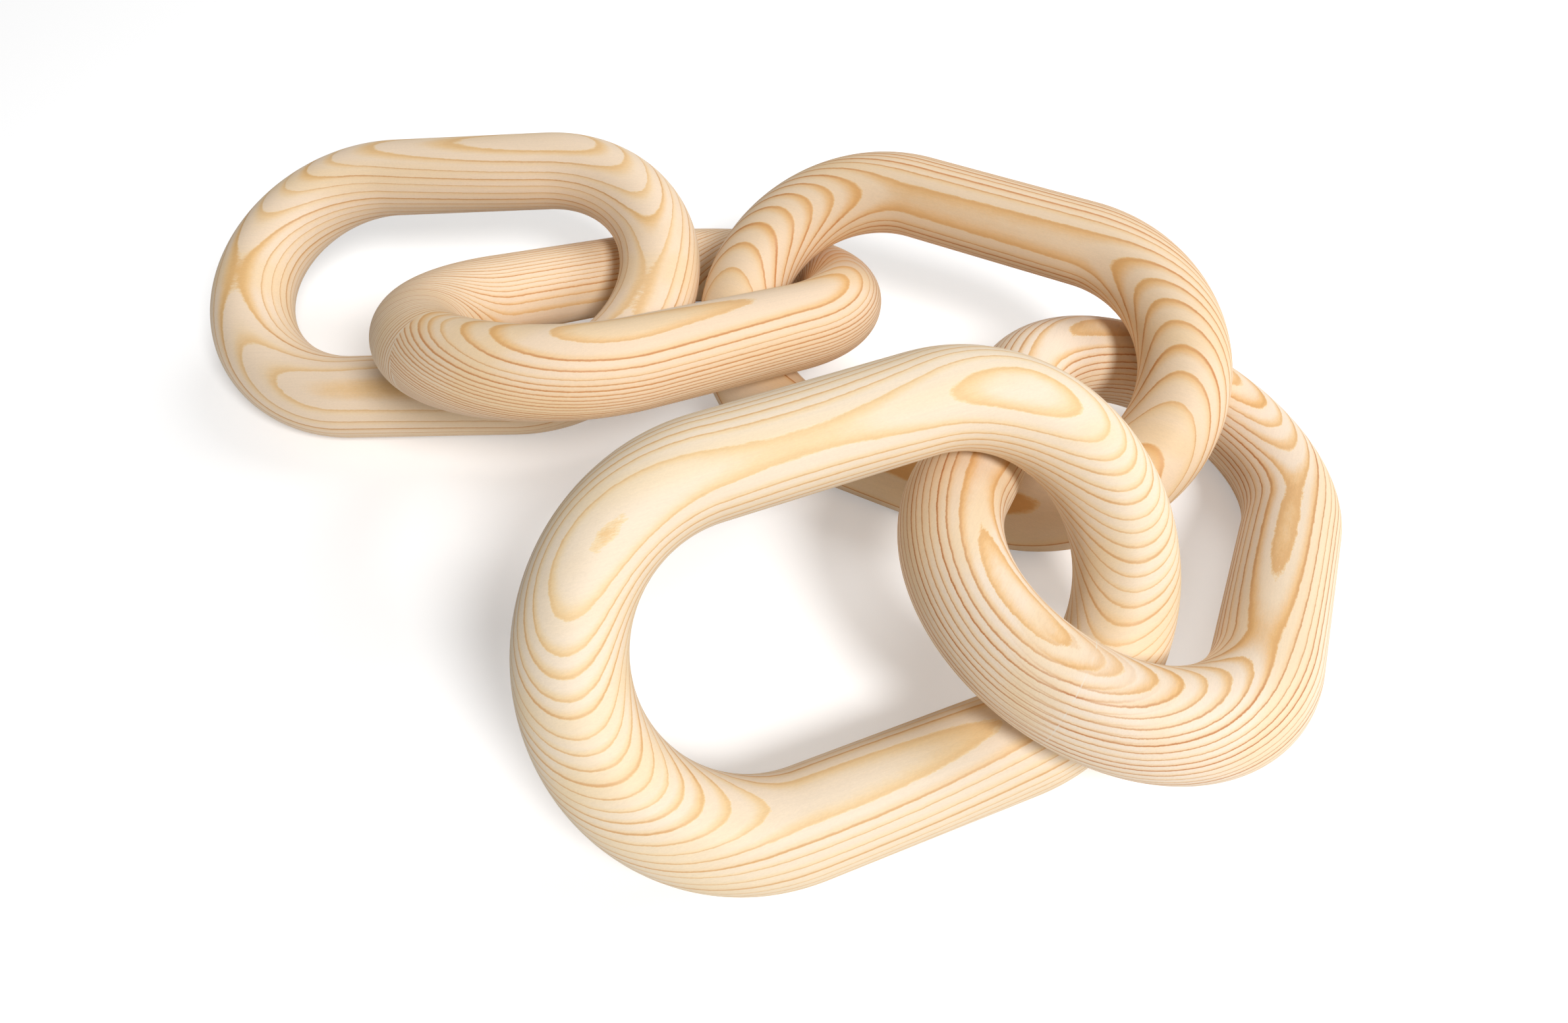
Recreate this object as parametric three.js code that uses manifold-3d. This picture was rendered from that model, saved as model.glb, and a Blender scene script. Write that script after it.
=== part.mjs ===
// A loose chain of five wooden links, lying on a table in a curve, as it was laid down.
// Millimetres, +Z up. The origin is on the table under the middle of the chain, +X runs along
// its greatest length and +Y runs away from the side it is seen from.

import * as THREE from 'three';
import Module from 'manifold-3d';
import { mergeVertices } from 'three/addons/utils/BufferGeometryUtils.js';

// One link, outside measures: a round bar in a ring with two straight arms and two half-round ends
const LINK_LENGTH = 158;
const LINK_WIDTH = 106;
const BAR_DIAMETER = 25;

// How deep the small flat is where a link lies on the table
const REST_FLAT = 0.5;

// Sides round the bar, and steps round the ring, which are a multiple of four
const BAR_SIDES = 20;
const RING_STEPS = 44;

// Bare sanded pine, which differs a little from link to link
const PINE_ROUGHNESS = 0.55;

// Where each link lies: its middle over the table, the heading of its long axis, how far that
// axis dips at its +X end, and how far the link leans about it, in millimetres and degrees
const LINKS = [
  { name: 'left_end_link', x: -88.4, y: 69.3, heading: -4.2, dip: -4.4, lean: 21.7, colour: 0xe2c79d },
  { name: 'second_link', x: -26.7, y: 45.5, heading: 35.5, dip: 15.1, lean: -17.4, colour: 0xdcbb88 },
  { name: 'middle_link', x: 64.8, y: 32.1, heading: -28.5, dip: 0.5, lean: 30.4, colour: 0xdab684 },
  { name: 'fourth_link', x: 104.5, y: -31.5, heading: 63.7, dip: 9.1, lean: 14.4, colour: 0xe0c192 },
  { name: 'front_end_link', x: 33.3, y: -69.3, heading: 20.7, dip: -0.8, lean: 44.6, colour: 0xecd8ab },
];

const BAR_RADIUS = BAR_DIAMETER / 2;
const BEND_RADIUS = (LINK_WIDTH - BAR_DIAMETER) / 2;
const STRAIGHT = LINK_LENGTH - LINK_WIDTH;

const wasm = await Module();
wasm.setup();

// A closed geometry as a solid that can be cut
function solidOf(geometry) {
  const bare = geometry.clone();
  bare.deleteAttribute('normal');
  bare.deleteAttribute('uv');
  const closed = mergeVertices(bare);
  const vertProperties = new Float32Array(closed.attributes.position.array);
  const triVerts = new Uint32Array(closed.index.array);
  return new wasm.Manifold(new wasm.Mesh({ numProp: 3, vertProperties, triVerts }));
}

function geometryOf(solid) {
  const { vertProperties, triVerts } = solid.getMesh();
  const geometry = new THREE.BufferGeometry();
  geometry.setAttribute('position', new THREE.BufferAttribute(vertProperties, 3));
  geometry.setIndex(new THREE.BufferAttribute(triVerts, 1));
  geometry.computeVertexNormals();
  return geometry;
}

// One whole link, flat in its own XY plane with its long axis along X: a ring of round bar, drawn
// apart at its two sides. A half step's turn leaves no vertex on the line where it parts.
function linkGeometry() {
  const halfStep = Math.PI / RING_STEPS;
  const ringRadius = BEND_RADIUS / Math.cos(halfStep);
  const ring = new THREE.TorusGeometry(ringRadius, BAR_RADIUS, BAR_SIDES, RING_STEPS);
  ring.rotateZ(halfStep);
  const position = ring.attributes.position;
  for (let i = 0; i < position.count; i += 1) {
    position.setX(i, position.getX(i) + Math.sign(position.getX(i)) * STRAIGHT / 2);
  }
  return ring;
}

// A link rests on the table, so the height of its middle follows from its dip and lean: the
// lowest point of the bar's centre line is that of the lower bend
function restHeight(turn) {
  const along = new THREE.Vector3(1, 0, 0).applyEuler(turn);
  const across = new THREE.Vector3(0, 1, 0).applyEuler(turn);
  const drop = Math.abs(along.z) * STRAIGHT / 2 + Math.hypot(along.z, across.z) * BEND_RADIUS;
  return drop + BAR_RADIUS - REST_FLAT;
}

// The table top as a thick slab, which takes the small flat off the underside of each link
function tableGeometry() {
  const side = 4 * LINK_LENGTH;
  const slab = new THREE.BoxGeometry(side, side, LINK_WIDTH);
  slab.translate(0, 0, -LINK_WIDTH / 2);
  return slab;
}

function linkMesh({ name, x, y, heading, dip, lean, colour }) {
  const radians = [lean, dip, heading].map(THREE.MathUtils.degToRad);
  const turn = new THREE.Euler(...radians, 'ZYX');
  const material = new THREE.MeshStandardMaterial({
    color: colour, roughness: PINE_ROUGHNESS, metalness: 0,
  });
  const mesh = new THREE.Mesh(undefined, material);
  mesh.name = name;
  mesh.position.set(x, y, restHeight(turn));
  mesh.rotation.copy(turn);
  mesh.updateMatrixWorld();
  const table = tableGeometry().applyMatrix4(mesh.matrixWorld.clone().invert());
  mesh.geometry = geometryOf(solidOf(linkGeometry()).subtract(solidOf(table)));
  return mesh;
}

const chain = new THREE.Group();
for (const link of LINKS) {
  chain.add(linkMesh(link));
}

export default chain;
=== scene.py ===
"""The looks of a loose chain of five wooden links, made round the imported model's fixed frame.

Metres, +Z up, as in the frame. The wood's own sizes, such as the width of a growth ring, are in
millimetres, because the wood is laid out in each link's own place in millimetres.
"""

import math

import bpy
import numpy as np
from mathutils import Matrix, Vector


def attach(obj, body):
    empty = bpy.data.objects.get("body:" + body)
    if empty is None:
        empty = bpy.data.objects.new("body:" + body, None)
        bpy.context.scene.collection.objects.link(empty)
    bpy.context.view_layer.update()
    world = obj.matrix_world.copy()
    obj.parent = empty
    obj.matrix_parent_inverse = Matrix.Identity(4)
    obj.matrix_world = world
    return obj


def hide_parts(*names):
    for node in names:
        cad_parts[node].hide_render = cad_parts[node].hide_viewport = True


MM = 0.001

# The mesh attributes that hold each point's place in its own link, in millimetres, and the way
# that the surface faces there
WOOD_PLACE = "wood_place"
WOOD_FACING = "wood_facing"

# One link, outside measures, as the maker turns it: a round bar in a ring
LINK_LENGTH = 158 * MM
LINK_WIDTH = 106 * MM
BAR_DIAMETER = 25 * MM

# Sides round the bar, and steps along the ring
BAR_SIDES = 96
RING_STEPS = 288

# The camera: height of its sight line over the table, distance and place of its aim, and frame
PHOTO_WIDTH = 2380
PHOTO_HEIGHT = 1553
FOCAL_PIXELS = 1793.6
SIGHT_ROW = 580
LOOK_DOWN = 42.775
CAMERA_ROLL = -0.975
CAMERA_DISTANCE = 382.6 * MM
CAMERA_AIM = Vector((15.95, 50.78, -0.5)) * MM
SENSOR_WIDTH = 36.0

# The glue line that shows on a link that was closed round its neighbours
SEAM_WIDTH = 0.5
SEAM_COLOUR = (0.86, 0.8, 0.7, 1.0)

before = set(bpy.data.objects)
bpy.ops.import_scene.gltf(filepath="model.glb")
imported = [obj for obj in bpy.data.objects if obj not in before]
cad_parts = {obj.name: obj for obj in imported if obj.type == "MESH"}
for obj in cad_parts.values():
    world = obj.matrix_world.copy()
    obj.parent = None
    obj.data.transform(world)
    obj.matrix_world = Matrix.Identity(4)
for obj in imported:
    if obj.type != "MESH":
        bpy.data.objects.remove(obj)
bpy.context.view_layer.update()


# Node helpers

class Nodes:
    """Adds nodes to one tree, so that a formula reads as a line or two."""

    def __init__(self, tree):
        self.tree = tree

    def set_input(self, socket, value):
        if isinstance(value, bpy.types.NodeSocket):
            self.tree.links.new(value, socket)
        else:
            socket.default_value = value

    def add(self, kind, inputs=None, **settings):
        node = self.tree.nodes.new(kind)
        for name, value in settings.items():
            setattr(node, name, value)
        for name, value in (inputs or {}).items():
            self.set_input(node.inputs[name], value)
        return node

    def math(self, operation, *values, clamp=False):
        node = self.tree.nodes.new("ShaderNodeMath")
        node.operation = operation
        node.use_clamp = clamp
        for socket, value in zip(node.inputs, values):
            self.set_input(socket, value)
        return node.outputs[0]

    def vector(self, operation, *values, out="Vector"):
        node = self.tree.nodes.new("ShaderNodeVectorMath")
        node.operation = operation
        for socket, value in zip(node.inputs, values):
            self.set_input(socket, value)
        return node.outputs[out]

    def scaled(self, vector, factor):
        node = self.tree.nodes.new("ShaderNodeVectorMath")
        node.operation = "SCALE"
        self.set_input(node.inputs[0], vector)
        self.set_input(node.inputs["Scale"], factor)
        return node.outputs["Vector"]

    def ramp(self, value, low, high, curve="SMOOTHSTEP"):
        """0 where value is low, 1 where it is high."""
        node = self.add("ShaderNodeMapRange", interpolation_type=curve)
        self.set_input(node.inputs["Value"], value)
        self.set_input(node.inputs["From Min"], low)
        self.set_input(node.inputs["From Max"], high)
        return node.outputs["Result"]

    def noise(self, place, detail=2.0, roughness=0.5):
        inputs = {"Vector": place, "Scale": 1.0, "Detail": detail, "Roughness": roughness}
        return self.add("ShaderNodeTexNoise", inputs).outputs["Fac"]

    def blend(self, factor, first, second):
        """Two numbers mixed by a factor."""
        node = self.add("ShaderNodeMix", data_type="FLOAT")
        self.set_input(node.inputs[0], factor)
        self.set_input(node.inputs[2], first)
        self.set_input(node.inputs[3], second)
        return node.outputs[0]

    def mix(self, factor, first, second):
        """Two colours mixed by a factor."""
        node = self.add("ShaderNodeMix", data_type="RGBA")
        self.set_input(node.inputs[0], factor)
        self.set_input(node.inputs[6], first)
        self.set_input(node.inputs[7], second)
        return node.outputs[2]


def new_group(name, inputs, outputs):
    """An empty node group with named sockets: inputs and outputs are {name: socket type}."""
    group = bpy.data.node_groups.new(name, "ShaderNodeTree")
    for way, sockets in (("INPUT", inputs), ("OUTPUT", outputs)):
        for socket_name, kind in sockets.items():
            group.interface.new_socket(socket_name, in_out=way, socket_type=kind)
    nodes = Nodes(group)
    into = nodes.add("NodeGroupInput")
    out = nodes.add("NodeGroupOutput")
    return group, nodes, into.outputs, out.inputs


FLOAT = "NodeSocketFloat"
VECTOR = "NodeSocketVector"
COLOUR = "NodeSocketColor"


# Wood effects. Place is a point of the link in millimetres: X along the grain, Z up through it.

def growth_rings_group():
    """The rings of the log that a link was cut from, round a pith that runs along the grain.

    Latewood is the dark line that closes a year, Gold is the soft band before it, Season runs
    from 0 to 1 through each year, Year Tone differs from year to year, and Flatness is 1 where a
    ring lies flat in the surface.
    """
    inputs = {
        "Place": VECTOR, "Facing": VECTOR, "Pith": VECTOR, "Pith Slope": VECTOR,
        "Pith Bow": VECTOR, "First Ring": FLOAT, "Ring Width": FLOAT, "Narrowing": FLOAT,
        "Unevenness": FLOAT, "Wander": FLOAT, "Line Width": FLOAT, "Seed": FLOAT,
    }
    outputs = {
        "Latewood": FLOAT, "Gold": FLOAT, "Season": FLOAT, "Year Tone": FLOAT, "Flatness": FLOAT,
    }
    group, nodes, into, out = new_group("growth_rings", inputs, outputs)
    along = nodes.add("ShaderNodeSeparateXYZ", {0: into["Place"]}).outputs["X"]
    slope = nodes.scaled(into["Pith Slope"], along)
    bow = nodes.scaled(into["Pith Bow"], nodes.math("MULTIPLY", along, along))
    pith = nodes.vector("ADD", into["Pith"], nodes.vector("ADD", slope, bow))
    offset = nodes.vector("SUBTRACT", into["Place"], pith)
    across = nodes.vector("MULTIPLY", offset, (0.0, 1.0, 1.0))
    distance = nodes.vector("LENGTH", across, out="Value")

    outward = nodes.vector("NORMALIZE", across)
    steepness = nodes.vector(
        "ADD", into["Pith Slope"],
        nodes.scaled(into["Pith Bow"], nodes.math("MULTIPLY", along, 2.0)),
    )
    lean = nodes.math("MULTIPLY", nodes.vector("DOT_PRODUCT", outward, steepness, out="Value"), -1.0)
    lean = nodes.add("ShaderNodeCombineXYZ", {"X": lean}).outputs["Vector"]
    growing = nodes.vector("NORMALIZE", nodes.vector("ADD", outward, lean))
    facing = nodes.vector("DOT_PRODUCT", growing, into["Facing"], out="Value")
    flatness = nodes.ramp(nodes.math("ABSOLUTE", facing), 0.72, 0.985)

    seeded = nodes.vector("ADD", into["Place"], nodes.scaled((37.0, 11.0, 23.0), into["Seed"]))
    slow_place = nodes.vector("MULTIPLY", seeded, (0.012, 0.04, 0.04))
    slow = nodes.math("SUBTRACT", nodes.noise(slow_place, detail=1.0), 0.5)
    wobble_place = nodes.vector("MULTIPLY", seeded, (0.3, 0.7, 0.7))
    wobble = nodes.math("SUBTRACT", nodes.noise(wobble_place, detail=2.0), 0.5)
    fuzz_place = nodes.vector("MULTIPLY", seeded, (1.0, 3.0, 3.0))
    fuzz = nodes.math("SUBTRACT", nodes.noise(fuzz_place, detail=2.0, roughness=0.7), 0.5)
    wander = nodes.math("MULTIPLY", slow, into["Wander"])
    shift = nodes.math("MULTIPLY_ADD", fuzz, 0.2, nodes.math("MULTIPLY_ADD", wobble, 0.25, wander))
    grown = nodes.math("SUBTRACT", nodes.math("ADD", distance, shift), into["First Ring"])
    steady = nodes.math("DIVIDE", 1.0, into["Ring Width"])
    tightening = nodes.math("MULTIPLY", grown, into["Narrowing"])
    years = nodes.math("MULTIPLY", grown, nodes.math("ADD", steady, tightening))
    pace = nodes.math("MULTIPLY_ADD", tightening, 2.0, steady)
    pace = nodes.math("MAXIMUM", pace, 0.05)
    year_place = nodes.add("ShaderNodeCombineXYZ", {
        "X": nodes.math("MULTIPLY", years, 0.43), "Y": into["Seed"], "Z": 0.0,
    }).outputs["Vector"]
    growth = nodes.math("SUBTRACT", nodes.noise(year_place, detail=1.0), 0.5)
    years = nodes.math("MULTIPLY_ADD", growth, into["Unevenness"], years)

    season = nodes.math("FRACT", years)
    year = nodes.math("ADD", nodes.math("FLOOR", years), into["Seed"])
    tone = nodes.add("ShaderNodeTexWhiteNoise", {"W": year}, noise_dimensions="1D")
    tone = tone.outputs["Value"]
    width = nodes.math("MULTIPLY", into["Line Width"], nodes.math("MULTIPLY_ADD", tone, 0.7, 0.65))
    width = nodes.math("MINIMUM", nodes.math("MULTIPLY", width, pace), 0.6)
    left = nodes.math("DIVIDE", nodes.math("SUBTRACT", 1.0, season), width)
    closed = nodes.ramp(left, 0.0, 0.3)
    line = nodes.math("MULTIPLY", nodes.ramp(left, 1.0, 0.4), closed)
    gold = nodes.math("MULTIPLY", nodes.ramp(left, 2.4, 0.5), closed)
    nodes.set_input(out["Latewood"], line)
    nodes.set_input(out["Gold"], gold)
    nodes.set_input(out["Season"], season)
    nodes.set_input(out["Year Tone"], tone)
    nodes.set_input(out["Flatness"], flatness)
    return group


def fibres_group():
    """Fine streaks along the grain, small pores, and broad soft bands of warmer wood."""
    inputs = {"Place": VECTOR, "Seed": FLOAT}
    outputs = {"Streaks": FLOAT, "Pores": FLOAT, "Bands": FLOAT}
    group, nodes, into, out = new_group("fibres", inputs, outputs)
    seeded = nodes.vector("ADD", into["Place"], nodes.scaled((19.0, 29.0, 7.0), into["Seed"]))
    streak_place = nodes.vector("MULTIPLY", seeded, (0.05, 1.6, 1.6))
    nodes.set_input(out["Streaks"], nodes.noise(streak_place, detail=3.0, roughness=0.6))
    pore_place = nodes.vector("MULTIPLY", seeded, (1.2, 3.0, 3.0))
    nodes.set_input(out["Pores"], nodes.noise(pore_place, detail=2.0, roughness=0.7))
    band_place = nodes.vector("MULTIPLY", seeded, (0.008, 0.06, 0.06))
    nodes.set_input(out["Bands"], nodes.noise(band_place, detail=1.0))
    return group


def glue_seam_group():
    """Where a ring was sawn lengthwise, closed round its neighbours and glued again.

    Seam is the thin pale line itself, which comes and goes, and Far Half runs from 0 to 1 across
    it within Blend of either side.
    """
    inputs = {"Place": VECTOR, "Seam Across": FLOAT, "Seam Width": FLOAT, "Blend": FLOAT}
    outputs = {"Seam": FLOAT, "Far Half": FLOAT}
    group, nodes, into, out = new_group("glue_seam", inputs, outputs)
    ragged_place = nodes.vector("MULTIPLY", into["Place"], (0.9, 0.9, 0.9))
    ragged = nodes.math("SUBTRACT", nodes.noise(ragged_place, detail=2.0), 0.5)
    across = nodes.add("ShaderNodeSeparateXYZ", {0: into["Place"]}).outputs["Y"]
    past = nodes.math("SUBTRACT", across, into["Seam Across"])
    past = nodes.math("MULTIPLY_ADD", ragged, 0.12, past)
    half_width = nodes.math("MULTIPLY", into["Seam Width"], 0.5)
    seam = nodes.ramp(nodes.math("ABSOLUTE", past), half_width, 0.0)
    broken_place = nodes.vector("MULTIPLY", into["Place"], (0.35, 0.35, 0.35))
    broken = nodes.ramp(nodes.noise(broken_place, detail=1.0), 0.35, 0.6)
    nodes.set_input(out["Seam"], nodes.math("MULTIPLY", seam, broken))
    start = nodes.math("MULTIPLY", into["Blend"], -1.0)
    nodes.set_input(out["Far Half"], nodes.ramp(past, start, into["Blend"]))
    return group


GROWTH_RINGS = growth_rings_group()
FIBRES = fibres_group()
GLUE_SEAM = glue_seam_group()


def srgb(red, green, blue):
    """A colour as it looks on the screen, 0 to 255, as the linear values that the nodes take."""
    linear = []
    for value in (red, green, blue):
        value /= 255
        linear.append(value / 12.92 if value <= 0.04045 else ((value + 0.055) / 1.055) ** 2.4)
    return (*linear, 1.0)


def add_rings(nodes, place, log, seed):
    """The growth rings of one log, as the log's values say."""
    facing = nodes.add("ShaderNodeAttribute", attribute_name=WOOD_FACING).outputs["Vector"]
    inputs = {"Place": place, "Facing": facing}
    rings = nodes.add("ShaderNodeGroup", inputs, node_tree=GROWTH_RINGS)
    values = {
        "Pith": (0.0, *log["pith"]), "Pith Slope": (0.0, *log["slope"]),
        "Pith Bow": (0.0, *[value / 1000 for value in log["bow"]]),
        "First Ring": log["first_ring"], "Ring Width": log["ring_width"],
        "Narrowing": log["narrowing"], "Unevenness": log["unevenness"],
        "Wander": log["wander"], "Line Width": log["line_width"], "Seed": seed,
    }
    for name, value in values.items():
        rings.inputs[name].default_value = value
    return rings.outputs


def pine(name, wood):
    """Bare sanded pine with a satin touch, cut where the pith and rings of its logs say."""
    material = bpy.data.materials.new(name)
    material.use_nodes = True
    tree = material.node_tree
    tree.nodes.clear()
    nodes = Nodes(tree)
    out = nodes.add("ShaderNodeOutputMaterial")
    place = nodes.add("ShaderNodeAttribute", attribute_name=WOOD_PLACE).outputs["Vector"]
    fibres = nodes.add("ShaderNodeGroup", {"Place": place}, node_tree=FIBRES)
    fibres.inputs["Seed"].default_value = wood["seed"]

    rings = add_rings(nodes, place, wood["logs"][0], wood["seed"])
    seam = None
    if len(wood["logs"]) == 2:
        joint = nodes.add("ShaderNodeGroup", {"Place": place}, node_tree=GLUE_SEAM)
        joint.inputs["Seam Across"].default_value = wood["seam_across"]
        joint.inputs["Seam Width"].default_value = SEAM_WIDTH
        joint.inputs["Blend"].default_value = wood["blend"]
        seam = joint.outputs["Seam"]
        far_half = joint.outputs["Far Half"]
        far_rings = add_rings(nodes, place, wood["logs"][1], wood["seed"])
        rings = {
            name: nodes.blend(far_half, rings[name], far_rings[name])
            for name in ("Latewood", "Gold", "Season", "Year Tone", "Flatness")
        }
    latewood = rings["Latewood"]
    flatness = rings["Flatness"]

    bands = nodes.math("MULTIPLY", nodes.ramp(fibres.outputs["Bands"], 0.45, 0.7), 0.5)
    shoulder = nodes.math("MULTIPLY", nodes.ramp(rings["Season"], 0.3, 1.0), wood["shoulder"])
    early = nodes.mix(nodes.math("MAXIMUM", bands, shoulder), wood["early"], wood["warm"])
    strength = nodes.math("MULTIPLY_ADD", rings["Year Tone"], 0.45, 0.55)
    strength = nodes.math("MULTIPLY", strength, wood["line_strength"])
    gold_part = nodes.math("MULTIPLY_ADD", flatness, 0.5, 0.35)
    gold = nodes.math("MULTIPLY", nodes.math("MULTIPLY", rings["Gold"], strength), gold_part)
    colour = nodes.mix(nodes.math("MINIMUM", gold, 1.0), early, wood["gold"])
    line_part = nodes.math("MULTIPLY_ADD", flatness, -0.75, 1.0)
    line = nodes.math("MULTIPLY", nodes.math("MULTIPLY", latewood, strength), line_part)
    colour = nodes.mix(nodes.math("MINIMUM", line, 1.0), colour, wood["late"])
    streak = nodes.ramp(fibres.outputs["Streaks"], 0.25, 0.75, "LINEAR")
    pore = nodes.ramp(fibres.outputs["Pores"], 0.25, 0.75, "LINEAR")
    shade = nodes.math("MULTIPLY_ADD", streak, 0.05, nodes.math("MULTIPLY_ADD", pore, 0.07, 0.89))
    colour = nodes.scaled(colour, shade)
    if seam:
        colour = nodes.mix(nodes.math("MULTIPLY", seam, 0.6), colour, SEAM_COLOUR)

    height = nodes.math("MULTIPLY_ADD", latewood, 0.4, pore)
    bump = nodes.add("ShaderNodeBump", {"Height": height, "Strength": 0.2, "Distance": 0.05 * MM})
    roughness = nodes.math("MULTIPLY_ADD", latewood, -0.08, 0.56)
    surface = nodes.add("ShaderNodeBsdfPrincipled", {
        "Base Color": colour, "Roughness": roughness, "Normal": bump.outputs["Normal"],
    })
    surface.inputs["Specular IOR Level"].default_value = 0.35
    nodes.set_input(out.inputs["Surface"], surface.outputs["BSDF"])
    return material


# The links

def link_pose(node):
    """Where a link lies: the matrix from its own place, with X along it and Z up through its ring.

    The solid's middle and its long, cross and upright axes come from its volume.
    """
    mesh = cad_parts[node].data
    mesh.calc_loop_triangles()
    points = np.array([vertex.co for vertex in mesh.vertices])
    corners = np.array([triangle.vertices for triangle in mesh.loop_triangles])
    a, b, c = (points[corners[:, k]] for k in range(3))
    volumes = np.einsum("ij,ij->i", a, np.cross(b, c)) / 6
    volume = volumes.sum()
    total = a + b + c
    middle = (volumes[:, None] * total).sum(0) / 4 / volume
    spread = sum(np.einsum("i,ij,ik->jk", volumes, p, p) for p in (a, b, c, total)) / 20 / volume
    axes = np.linalg.eigh(spread - np.outer(middle, middle))[1]
    long_axis = Vector(axes[:, 2] * np.sign(axes[0, 2]))
    upright = Vector(axes[:, 0] * np.sign(axes[2, 0]))
    cross_axis = upright.cross(long_axis)
    turn = Matrix((long_axis, cross_axis, upright)).transposed()
    return Matrix.Translation(middle) @ turn.to_4x4()


def ring_path(steps):
    """Evenly spaced points of a link's middle line, and the way out from the ring at each."""
    radius = (LINK_WIDTH - BAR_DIAMETER) / 2
    arm = LINK_LENGTH - LINK_WIDTH
    bend = math.pi * radius
    points = []
    ways_out = []
    for step in range(steps):
        travelled = 2 * (arm + bend) * step / steps
        side = 1 if travelled < arm + bend else -1
        travelled -= 0 if side == 1 else arm + bend
        if travelled < arm:
            place = (travelled - arm / 2, -radius)
            way = (0.0, -1.0)
        else:
            angle = (travelled - arm) / radius - math.pi / 2
            way = (math.cos(angle), math.sin(angle))
            place = (arm / 2 + radius * way[0], radius * way[1])
        points.append((side * place[0], side * place[1], 0.0))
        ways_out.append((side * way[0], side * way[1], 0.0))
    return np.array(points), np.array(ways_out)


def link_mesh(name, pose):
    """One round bar bent into a ring, where it lies, flat where it would pass the table top."""
    centres, ways_out = ring_path(RING_STEPS)
    angles = 2 * math.pi * np.arange(BAR_SIDES) / BAR_SIDES - math.pi / 2
    facings = ways_out[:, None] * np.cos(angles)[None, :, None]
    facings[:, :, 2] += np.sin(angles)
    facings = facings.reshape(-1, 3)
    points = centres.repeat(BAR_SIDES, axis=0) + BAR_DIAMETER / 2 * facings
    placed = points @ np.array(pose.to_3x3()).T + np.array(pose.translation)
    placed[:, 2] = placed[:, 2].clip(min=0)

    faces = []
    for step in range(RING_STEPS):
        after = (step + 1) % RING_STEPS
        for side in range(BAR_SIDES):
            next_side = (side + 1) % BAR_SIDES
            here = step * BAR_SIDES
            there = after * BAR_SIDES
            faces.append((here + side, there + side, there + next_side, here + next_side))
    mesh = bpy.data.meshes.new(name)
    mesh.from_pydata(placed.tolist(), [], faces)
    mesh.shade_smooth()
    for attribute_name, vectors in ((WOOD_PLACE, points / MM), (WOOD_FACING, facings)):
        attribute = mesh.attributes.new(attribute_name, "FLOAT_VECTOR", "POINT")
        attribute.data.foreach_set("vector", vectors.ravel())
    return mesh


def log(pith, slope=(0.0, 0.0), bow=(0.0, 0.0), **values):
    """One log: its heart across and up from the link's middle, and how that runs and bows.

    Millimetres, the slope in millimetres for each one along, and the bow for each thousand
    square millimetres.
    """
    usual = {
        "first_ring": 0.0, "ring_width": 2.4, "narrowing": 0.0, "unevenness": 0.8,
        "wander": 1.0, "line_width": 0.8,
    }
    return {**usual, "pith": pith, "slope": slope, "bow": bow, **values}


# How each link was cut and how it is coloured. A link with two logs was glued shut round its
# neighbours, with a seam that many millimetres across from its middle.
WOODS = {
    "left_end_link": {
        "slot": "pale_pine", "seed": 1.0,
        "logs": [log((-11.2, -126.9), (-0.065, -0.036), (0.99, 0.155), ring_width=2.2,
                     line_width=0.5)],
        "line_strength": 0.8, "shoulder": 0.6,
        "early": srgb(246, 222, 194), "warm": srgb(245, 214, 165), "gold": srgb(236, 184, 104),
        "late": srgb(205, 145, 88),
    },
    "second_link": {
        "slot": "golden_pine", "seed": 2.0, "seam_across": -5.0, "blend": 0.1,
        "logs": [
            log((-116.0, 277.0), (-0.015, 0.032), (0.0, 0.1), first_ring=275.0, ring_width=3.6,
                narrowing=0.023, unevenness=0.4, line_width=0.5),
            log((88.0, 36.0), ring_width=1.3, line_width=0.35),
        ],
        "line_strength": 0.95, "shoulder": 0.7,
        "early": srgb(244, 219, 190), "warm": srgb(243, 210, 158), "gold": srgb(236, 180, 102),
        "late": srgb(204, 138, 84),
    },
    "middle_link": {
        "slot": "amber_pine", "seed": 3.0,
        "logs": [log(
            (-84.4, 212.0), (0.005, -0.005), first_ring=204.4, ring_width=9.6,
            narrowing=0.00636, unevenness=0.25, wander=0.6, line_width=0.6,
        )],
        "line_strength": 1.0, "shoulder": 0.7,
        "early": srgb(243, 217, 185), "warm": srgb(241, 206, 152), "gold": srgb(232, 174, 98),
        "late": srgb(204, 134, 78),
    },
    "fourth_link": {
        "slot": "striped_pine", "seed": 4.0, "seam_across": 0.0, "blend": 24.0,
        "logs": [
            log((3.2, 81.5), (-0.071, 0.018), (0.07, 0.56), ring_width=1.6, line_width=0.45),
            log((21.4, 100.5), (0.074, -0.011), (0.07, 0.15), first_ring=19.7, ring_width=1.6,
                line_width=0.45),
        ],
        "line_strength": 1.1, "shoulder": 0.7,
        "early": srgb(247, 227, 204), "warm": srgb(246, 216, 166), "gold": srgb(236, 182, 106),
        "late": srgb(198, 130, 80),
    },
    "front_end_link": {
        "slot": "cream_pine", "seed": 5.0,
        "logs": [log((40.5, 96.0), (0.079, -0.025), (2.6, -1.4), ring_width=2.0, line_width=0.5)],
        "line_strength": 0.8, "shoulder": 0.7,
        "early": srgb(246, 227, 202), "warm": srgb(247, 219, 168), "gold": srgb(240, 194, 120),
        "late": srgb(216, 158, 100),
    },
}


def make_link(node, wood):
    pose = link_pose(node)
    name = node + "_wood"
    link = bpy.data.objects.new(name, link_mesh(name, pose))
    link.data.materials.append(pine(wood["slot"], wood))
    bpy.context.scene.collection.objects.link(link)
    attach(link, "root")
    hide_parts(node)
    return link


for node_name, node_wood in WOODS.items():
    make_link(node_name, node_wood)


# Studio

# Light that the camera alone sees from the floor, so that it looks as pale as a photo backdrop
FLOOR_GLOW = 0.3


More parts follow.
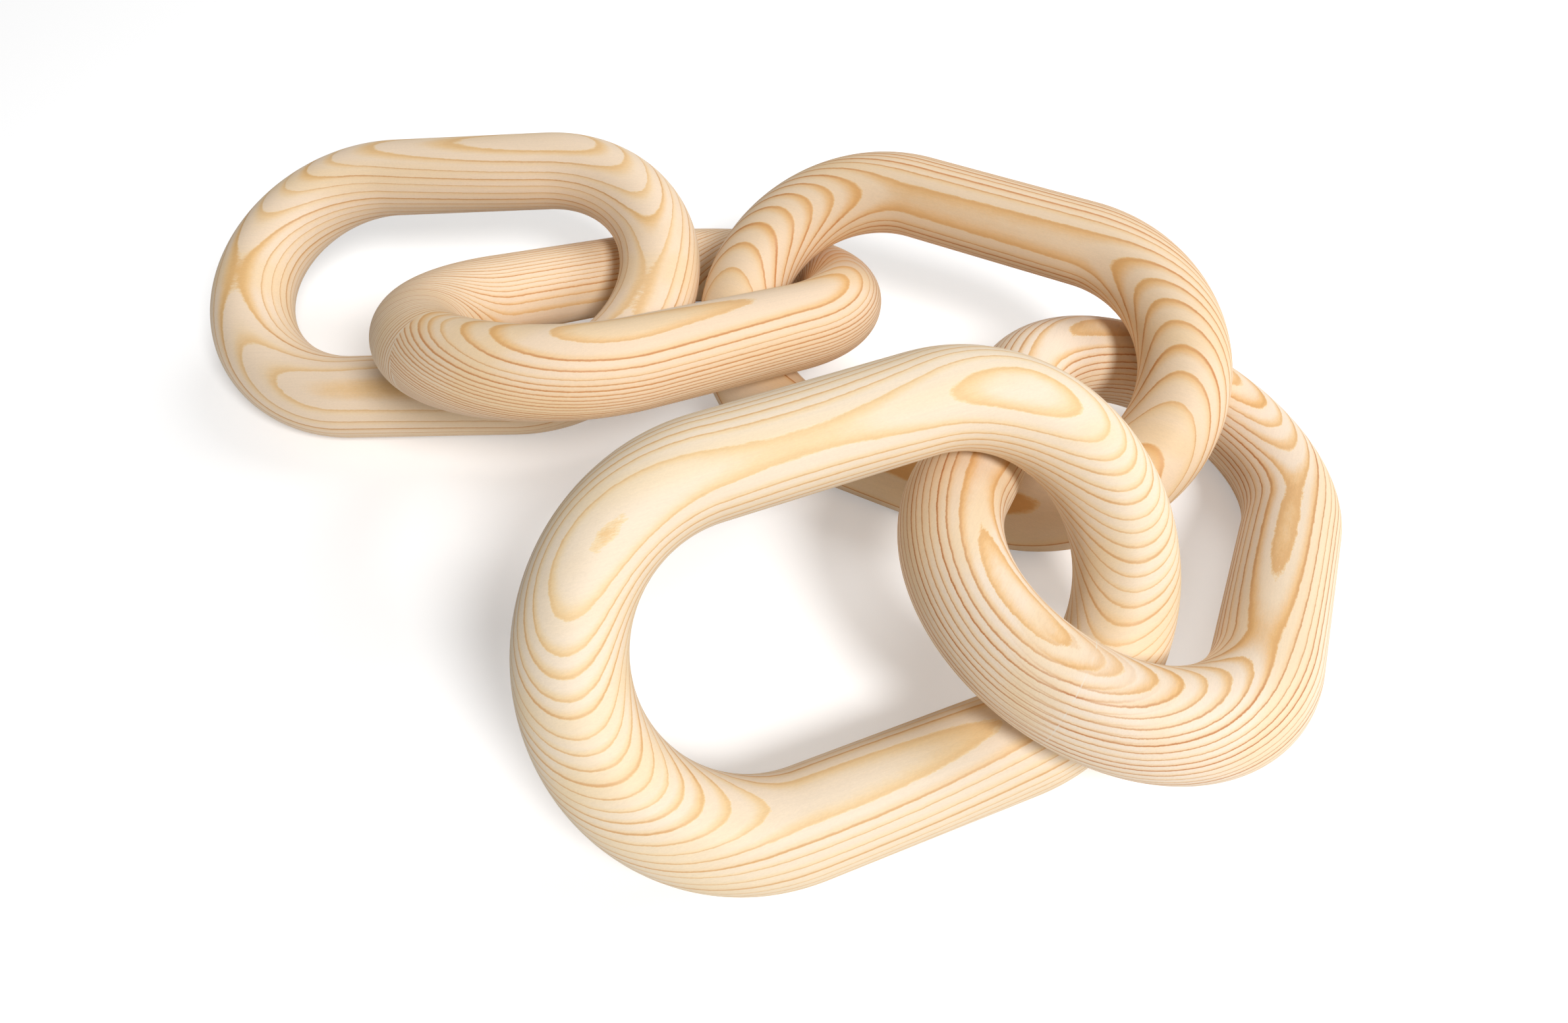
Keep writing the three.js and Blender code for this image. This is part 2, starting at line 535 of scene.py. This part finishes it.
def make_floor():
    mesh = bpy.data.meshes.new("floor")
    half = 6.0
    corners = [(-half, -half, 0), (half, -half, 0), (half, half, 0), (-half, half, 0)]
    mesh.from_pydata(corners, [], [(0, 1, 2, 3)])
    floor = bpy.data.objects.new("floor", mesh)
    bpy.context.scene.collection.objects.link(floor)
    material = bpy.data.materials.new("pale_floor")
    material.use_nodes = True
    surface = material.node_tree.nodes["Principled BSDF"]
    surface.inputs["Base Color"].default_value = (0.9, 0.9, 0.9, 1.0)
    surface.inputs["Roughness"].default_value = 0.9
    surface.inputs["Emission Color"].default_value = (1.0, 1.0, 1.0, 1.0)
    seen = material.node_tree.nodes.new("ShaderNodeLightPath").outputs["Is Camera Ray"]
    glow = Nodes(material.node_tree).math("MULTIPLY", seen, FLOOR_GLOW)
    material.node_tree.links.new(glow, surface.inputs["Emission Strength"])
    mesh.materials.append(material)


def make_light(name, place, size, power):
    lamp = bpy.data.lights.new(name, "AREA")
    lamp.shape = "DISK"
    lamp.size = size
    lamp.energy = power
    light = bpy.data.objects.new(name, lamp)
    light.location = place
    light.rotation_euler = (-Vector(place)).to_track_quat("-Z", "Y").to_euler()
    bpy.context.scene.collection.objects.link(light)


def make_world():
    world = bpy.data.worlds.new("studio")
    world.use_nodes = True
    background = world.node_tree.nodes["Background"]
    background.inputs["Color"].default_value = (1.0, 1.0, 1.0, 1.0)
    background.inputs["Strength"].default_value = 0.2
    bpy.context.scene.world = world


def make_camera():
    """The camera looks along +Y and down; a shift lifts its sight line over the frame's middle."""
    down = math.radians(LOOK_DOWN)
    roll = math.radians(CAMERA_ROLL)
    ahead = Vector((0, math.cos(down), -math.sin(down)))
    level_right = Vector((1, 0, 0))
    level_up = level_right.cross(ahead)
    right = math.cos(roll) * level_right + math.sin(roll) * level_up
    up = right.cross(ahead)
    data = bpy.data.cameras.new("camera")
    data.sensor_width = SENSOR_WIDTH
    data.lens = SENSOR_WIDTH * FOCAL_PIXELS / PHOTO_WIDTH
    data.shift_y = (SIGHT_ROW - PHOTO_HEIGHT / 2) / PHOTO_WIDTH
    data.clip_start = 10 * MM
    camera = bpy.data.objects.new("camera", data)
    turn = Matrix((right, up, -ahead)).transposed()
    camera.matrix_world = Matrix.Translation(CAMERA_AIM - CAMERA_DISTANCE * ahead) @ turn.to_4x4()
    bpy.context.scene.collection.objects.link(camera)
    bpy.context.scene.camera = camera


make_floor()
make_light("window_light", (0.95, -1.5, 1.75), 0.7, 44.0)
make_light("back_fill", (0.4, 0.8, 1.0), 0.8, 5.0)
make_light("right_fill", (1.0, -0.1, 0.55), 0.6, 2.2)
make_world()
make_camera()
bpy.context.scene.view_settings.view_transform = "Standard"
